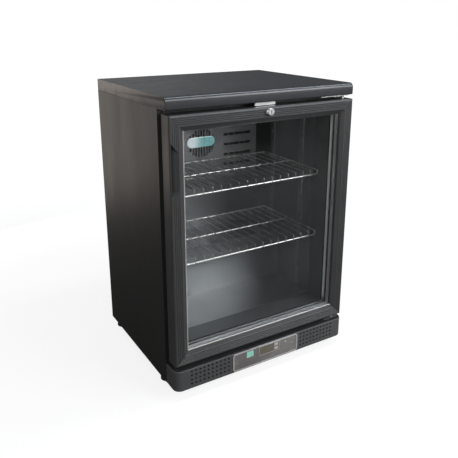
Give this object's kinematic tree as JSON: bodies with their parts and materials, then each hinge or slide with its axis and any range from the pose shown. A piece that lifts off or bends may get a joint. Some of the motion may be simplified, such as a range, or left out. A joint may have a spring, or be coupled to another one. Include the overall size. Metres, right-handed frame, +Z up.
{
  "type": "undercounter refrigerator",
  "caption": "Compact undercounter display refrigerator with a framed double-glazed door, finger pull, cam lock, perforated plinth with controls, wire shelves and levelling feet.",
  "frame": {"origin": "on the floor, under the middle of the bounding box", "axes": "+Z up, -Y out of the door's face, +X to the right of someone who faces the door"},
  "size_m": [0.6, 0.505, 0.846],
  "materials": {
    "worktop_charcoal": "satin charcoal",
    "textured_black_paint": "fine textured black paint",
    "galvanised_steel": "galvanised",
    "insulation_foam": null,
    "stucco_aluminium": "stucco embossed",
    "grey_vinyl": "matt vinyl",
    "bright_zinc": "bright zinc plate",
    "plinth_charcoal": "moulded, matt",
    "black_plastic": "moulded",
    "silver_plastic": "silver, glossy",
    "display_brown": "tinted window",
    "black_enamel": "gloss black enamel",
    "copper_tube": "bare copper",
    "white_plastic": "moulded",
    "chrome_wire": "bright wire",
    "door_charcoal": "ribbed extrusion",
    "clear_glass": "clear",
    "badge_teal": "plain plate",
    "switch_green": "lit green",
    "key_grey": "moulded"
  },
  "bodies": {
    "cabinet": {"worktop": "worktop_charcoal", "side_panel_left": "textured_black_paint", "side_panel_right": "textured_black_paint", "back_panel": "galvanised_steel", "base_pan": "galvanised_steel", "insulation_foam": "insulation_foam", "inner_liner": "stucco_aluminium", "breaker_frame": "grey_vinyl", "lock_strike_plate": "bright_zinc", "hinge_bracket_top": "bright_zinc", "hinge_bracket_bottom": "bright_zinc", "hinge_pin_top": "bright_zinc", "hinge_pin_bottom": "bright_zinc", "plinth_grille": "plinth_charcoal", "control_panel": "black_plastic", "control_bezel": "silver_plastic", "temperature_display": "display_brown", "cable_gland": "black_plastic", "compressor": "black_enamel", "condenser_coil": "stucco_aluminium", "condenser_shroud": "galvanised_steel", "condenser_fan_motor": "black_plastic", "filter_drier": "copper_tube", "discharge_pipe": "copper_tube", "suction_pipe": "copper_tube", "drip_tray": "black_plastic", "rear_grille": "galvanised_steel", "evaporator_coil": "stucco_aluminium", "evaporator_cover": "stucco_aluminium", "evaporator_fan_motor": "black_plastic", "light_housing": "white_plastic", "light_lens": "white_plastic", "shelf_upper": "chrome_wire", "shelf_lower": "chrome_wire", "pilaster_left_front": "galvanised_steel", "pilaster_left_rear": "galvanised_steel", "pilaster_right_front": "galvanised_steel", "pilaster_right_rear": "galvanised_steel"},
    "door": {"door_rail_top": "door_charcoal", "door_rail_bottom": "door_charcoal", "door_stile_left": "door_charcoal", "door_stile_right": "door_charcoal", "glass_outer": "clear_glass", "glass_inner": "clear_glass", "glass_spacer": "stucco_aluminium", "door_gasket": "grey_vinyl", "lock_housing": "bright_zinc", "closer_torsion_bar": "bright_zinc", "door_badge": "badge_teal"},
    "lock": {"lock_plug": "chrome_wire", "lock_cam": "bright_zinc"},
    "rocker": {"power_switch": "switch_green"},
    "key_up": {"button_up": "key_grey"},
    "key_down": {"button_down": "key_grey"},
    "condenser_fan": {"condenser_fan_blade": "stucco_aluminium"},
    "evaporator_fan": {"evaporator_fan_blade": "white_plastic"},
    "left_front_foot": {"foot_left_front": "black_plastic"},
    "left_rear_foot": {"foot_left_rear": "black_plastic"},
    "right_front_foot": {"foot_right_front": "black_plastic"},
    "right_rear_foot": {"foot_right_rear": "black_plastic"}
  },
  "joints": [
    {"name": "door_hinge", "type": "hinge", "parent": "cabinet", "child": "door", "pos_m": [0.273, -0.2225, 0.105], "axis": [0, 0, 1], "range_deg": [0, 110], "stiffness_Nm_per_rad": 1.2, "springref_deg": -28.65},
    {"name": "lock_turn", "type": "hinge", "parent": "door", "child": "lock", "pos_m": [0, -0.2445, 0.788], "axis": [0, -1, 0], "range_deg": [0, 90]},
    {"name": "power_rock", "type": "hinge", "parent": "cabinet", "child": "rocker", "pos_m": [-0.057, -0.2457, 0.076], "axis": [0, 0, 1], "range_deg": [0, 10]},
    {"name": "key_up_press", "type": "slide", "parent": "cabinet", "child": "key_up", "axis": [0, 1, 0], "range_m": [0, 0.001], "stiffness_N_per_m": 300},
    {"name": "key_down_press", "type": "slide", "parent": "cabinet", "child": "key_down", "axis": [0, 1, 0], "range_m": [0, 0.001], "stiffness_N_per_m": 300},
    {"name": "condenser_fan_spin", "type": "hinge", "parent": "cabinet", "child": "condenser_fan", "pos_m": [-0.205, 0.17, 0.118], "axis": [1, 0, 0], "continuous": true},
    {"name": "evaporator_fan_spin", "type": "hinge", "parent": "cabinet", "child": "evaporator_fan", "pos_m": [0, 0.151, 0.632], "axis": [0, 1, 0], "continuous": true},
    {"name": "left_front_foot_screw", "type": "slide", "parent": "cabinet", "child": "left_front_foot", "axis": [0, 0, 1], "range_m": [-0.012, 0]},
    {"name": "left_rear_foot_screw", "type": "slide", "parent": "cabinet", "child": "left_rear_foot", "axis": [0, 0, 1], "range_m": [-0.012, 0]},
    {"name": "right_front_foot_screw", "type": "slide", "parent": "cabinet", "child": "right_front_foot", "axis": [0, 0, 1], "range_m": [-0.012, 0]},
    {"name": "right_rear_foot_screw", "type": "slide", "parent": "cabinet", "child": "right_rear_foot", "axis": [0, 0, 1], "range_m": [-0.012, 0]}
  ]
}
